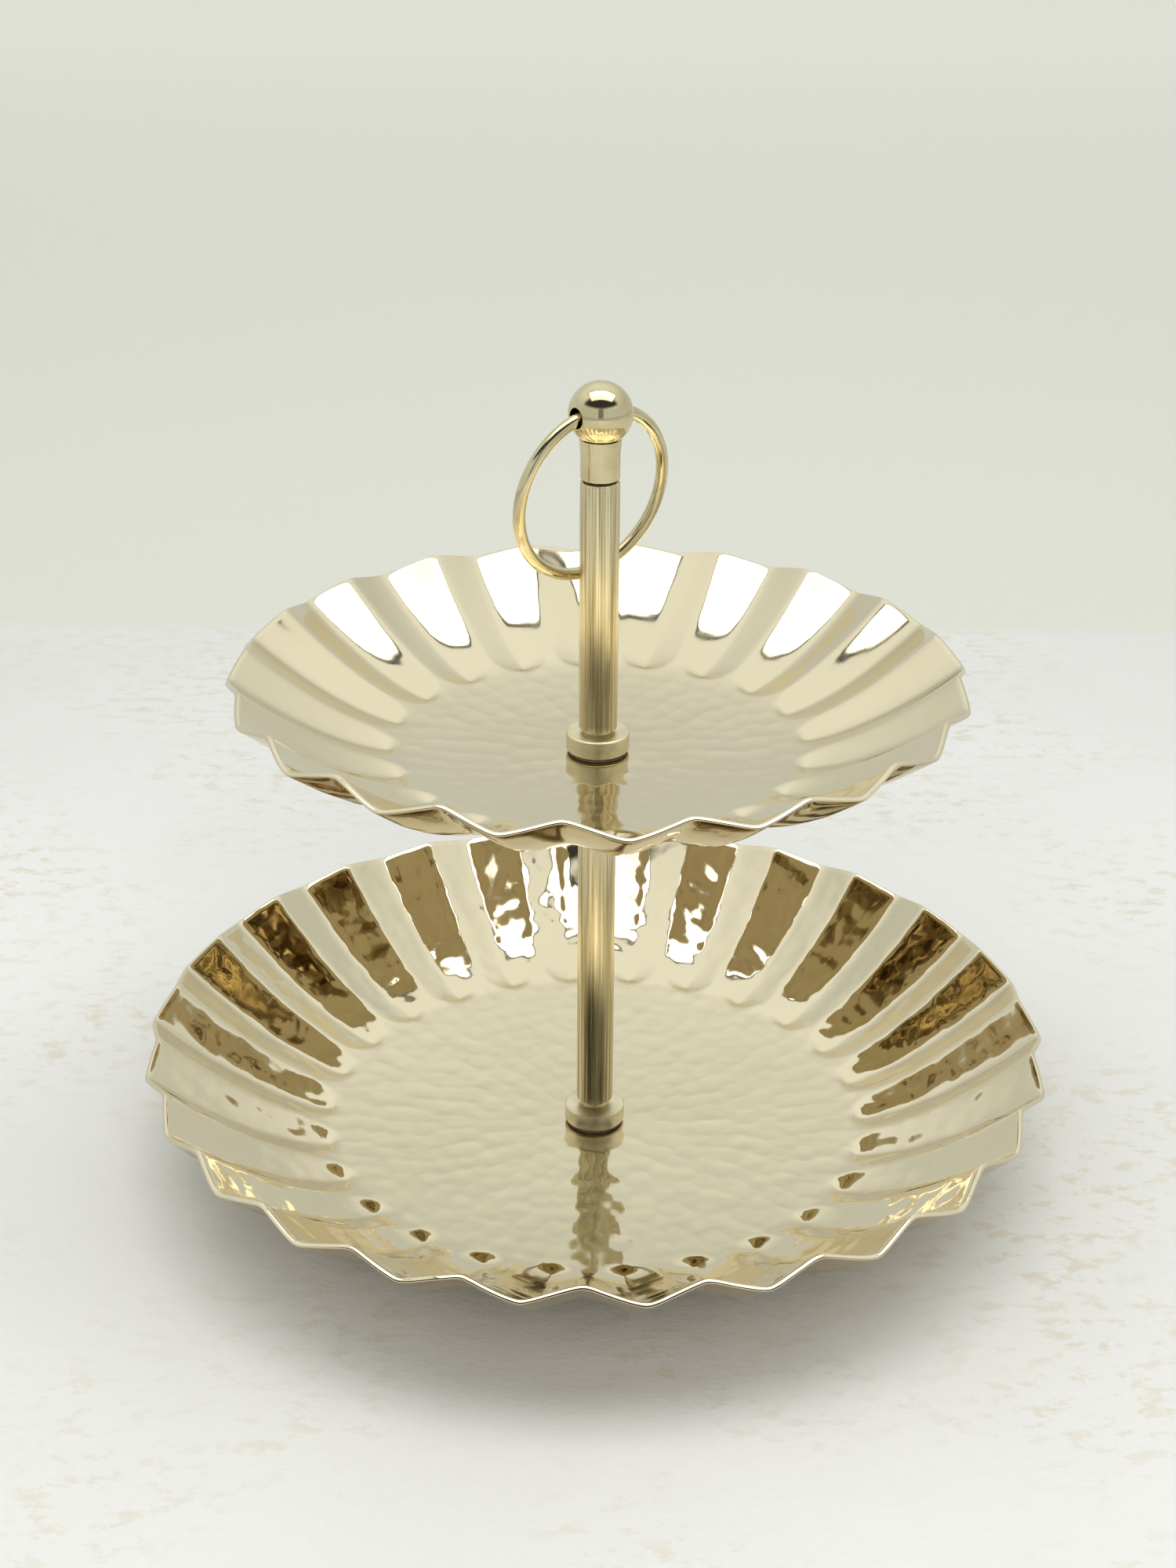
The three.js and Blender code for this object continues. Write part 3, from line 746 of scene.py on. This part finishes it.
def make_world():
    """Pale room all round, dark in front above the camera and where the photographer stands."""
    world = bpy.data.worlds.new("studio")
    bpy.context.scene.world = world
    world.use_nodes = True
    nodes, links = world.node_tree.nodes, world.node_tree.links
    direction = coordinates(nodes, links, "Generated")
    front = map_range(nodes, links, direction["Y"], *DARK_FRONT, smooth=True)
    height = map_range(nodes, links, direction["Z"], *DARK_HEIGHT, smooth=True)
    above = calculated(nodes, links, "MULTIPLY", front, height)
    aside = calculated(nodes, links, "ABSOLUTE", direction["X"])
    figure = map_range(nodes, links, aside, *FIGURE_SIDE, smooth=True, top=FIGURE_STRENGTH)
    standing = calculated(nodes, links, "MULTIPLY", figure, front)
    dark = calculated(nodes, links, "MAXIMUM", above, standing)
    rise = map_range(nodes, links, direction["Z"], *ROOM_RISE)
    room = mixed(nodes, links, rise, *ROOM_TONES)
    links.new(mixed(nodes, links, dark, room, DARK_TONE), nodes["Background"].inputs["Color"])


SOFTBOX_HEIGHT = 1.45
SOFTBOX_CENTRE = (0.12, -0.17)
SOFTBOX_SIZE = (1.75, 0.86)
SOFTBOX_POWER = 9.5
SOFTBOX_COLOUR = (1.0, 0.985, 0.95)
SOFTBOX_FRAME = 0.05


def dark_cloth():
    material, nodes, links, shader = node_material("softbox_frame")
    weave = noise_texture(nodes, links, scale=400, detail=2)
    links.new(ramp(nodes, links, weave, *BLACK_CLOTH), shader.inputs["Base Color"])
    shader.inputs["Roughness"].default_value = 0.9
    return material


def make_softbox():
    """One wide overhead softbox with its black edging."""
    lamp = bpy.data.lights.new("softbox", "AREA")
    lamp.shape = "RECTANGLE"
    lamp.size, lamp.size_y = SOFTBOX_SIZE
    lamp.energy = SOFTBOX_POWER
    lamp.color = SOFTBOX_COLOUR
    add_object("softbox", lamp).location = (*SOFTBOX_CENTRE, SOFTBOX_HEIGHT)
    half_x, half_y = SOFTBOX_SIZE[0] / 2, SOFTBOX_SIZE[1] / 2
    inner = [(-half_x, -half_y), (half_x, -half_y), (half_x, half_y), (-half_x, half_y)]
    outer = [(x + math.copysign(SOFTBOX_FRAME, x), y + math.copysign(SOFTBOX_FRAME, y)) for x, y in inner]
    corners = [(x + SOFTBOX_CENTRE[0], y + SOFTBOX_CENTRE[1], SOFTBOX_HEIGHT) for x, y in inner + outer]
    mesh = bpy.data.meshes.new("softbox_frame")
    mesh.from_pydata(corners, [], [(i, (i + 1) % 4, (i + 1) % 4 + 4, i + 4) for i in range(4)])
    mesh.materials.append(dark_cloth())
    edging = add_object("softbox_frame", mesh)


FILL_PLACE = (0.0, -1.1, 0.75)
FILL_SIZE = 1.0
FILL_POWER = 5


def make_fill():
    """Weak light from the front that softens the table's shadow. Polished metal doesn't mirror it."""
    lamp = bpy.data.lights.new("fill", "AREA")
    lamp.size = FILL_SIZE
    lamp.energy = FILL_POWER
    light = add_object("fill", lamp)
    light.location = FILL_PLACE
    light.rotation_euler = Vector(FILL_PLACE).to_track_quat("Z", "Y").to_euler()
    light.visible_glossy = False


CAMERA_PLACE = (-0.00296, -0.6738, 0.4509)
CAMERA_PITCH = math.radians(25.35)
CAMERA_ROLL = 0.0071
CAMERA_LENS = 54.3
CAMERA_CLIP_START = 0.01


def make_camera():
    camera = add_object("camera", bpy.data.cameras.new("camera"))
    camera.data.lens = CAMERA_LENS
    camera.data.clip_start = CAMERA_CLIP_START
    turn = Matrix.Rotation(math.pi / 2 - CAMERA_PITCH, 4, "X") @ Matrix.Rotation(CAMERA_ROLL, 4, "Z")
    camera.matrix_world = Matrix.Translation(CAMERA_PLACE) @ turn
    bpy.context.scene.camera = camera


# ---- Building it ----------------------------------------------------------------------------------------

def build():
    lower_brass = tray_metal("dented_tray_brass", LOWER_TRAY_DENTS)
    upper_brass = tray_metal("polished_tray_brass", UPPER_TRAY_DENTS)
    column_brass = column_metal()
    collar_brass = turned_metal(
        "turned_collar_brass", roughness=0.26, stretch=(0.02, 0.02, 1), dark=WARM_BRASS, light=PALE_BRASS)
    finial_brass = turned_metal(
        "polished_finial_brass", roughness=0.06, stretch=(1, 1, 0.05), dark=DEEP_BRASS, light=WARM_BRASS)
    ring_brass = turned_metal(
        "polished_ring_brass", roughness=0.07, stretch=(1, 1, 1), dark=DEEP_BRASS, light=WARM_BRASS)
    screw_steel = steel()
    gasket_rubber = rubber("black_gasket_rubber", *GASKET_RUBBER)
    pad_rubber = rubber("grey_pad_rubber", *PAD_RUBBER)

    make_tray("lower_tray", "base", lower_brass)
    make_tray("upper_tray", "upper_tray", upper_brass)
    make_collar("lower_collar", "lower_column", collar_brass)
    make_collar("upper_collar", "upper_column", collar_brass)
    make_tube("lower_tube", "lower_column", column_brass)
    make_tube("upper_tube", "upper_column", column_brass)
    make_tube_seat(collar_brass)
    make_shank(finial_brass)
    make_ball(finial_brass)
    make_ring(ring_brass)
    make_washer("lower_gasket", GASKET_RADIUS, "lower_washer", gasket_rubber)
    make_washer("upper_gasket", GASKET_RADIUS, "upper_washer", gasket_rubber)
    make_washer("seat_gasket", SEAT_RADIUS, "lower_column", gasket_rubber)
    make_washer("base_gasket", BASE_WASHER_RADIUS, "base", gasket_rubber)
    make_washer("base_washer", BASE_WASHER_RADIUS, "base", screw_steel)
    make_screw(screw_steel)
    for index in range(1, 5):
        make_pad(index, pad_rubber)
    for node, material in (("joining_stud", screw_steel), ("finial_plug", collar_brass)):
        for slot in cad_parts[node].material_slots:
            slot.material = material


build()
make_floor()
make_world()
make_softbox()
make_fill()
make_camera()
bpy.context.scene.view_settings.view_transform = "Standard"
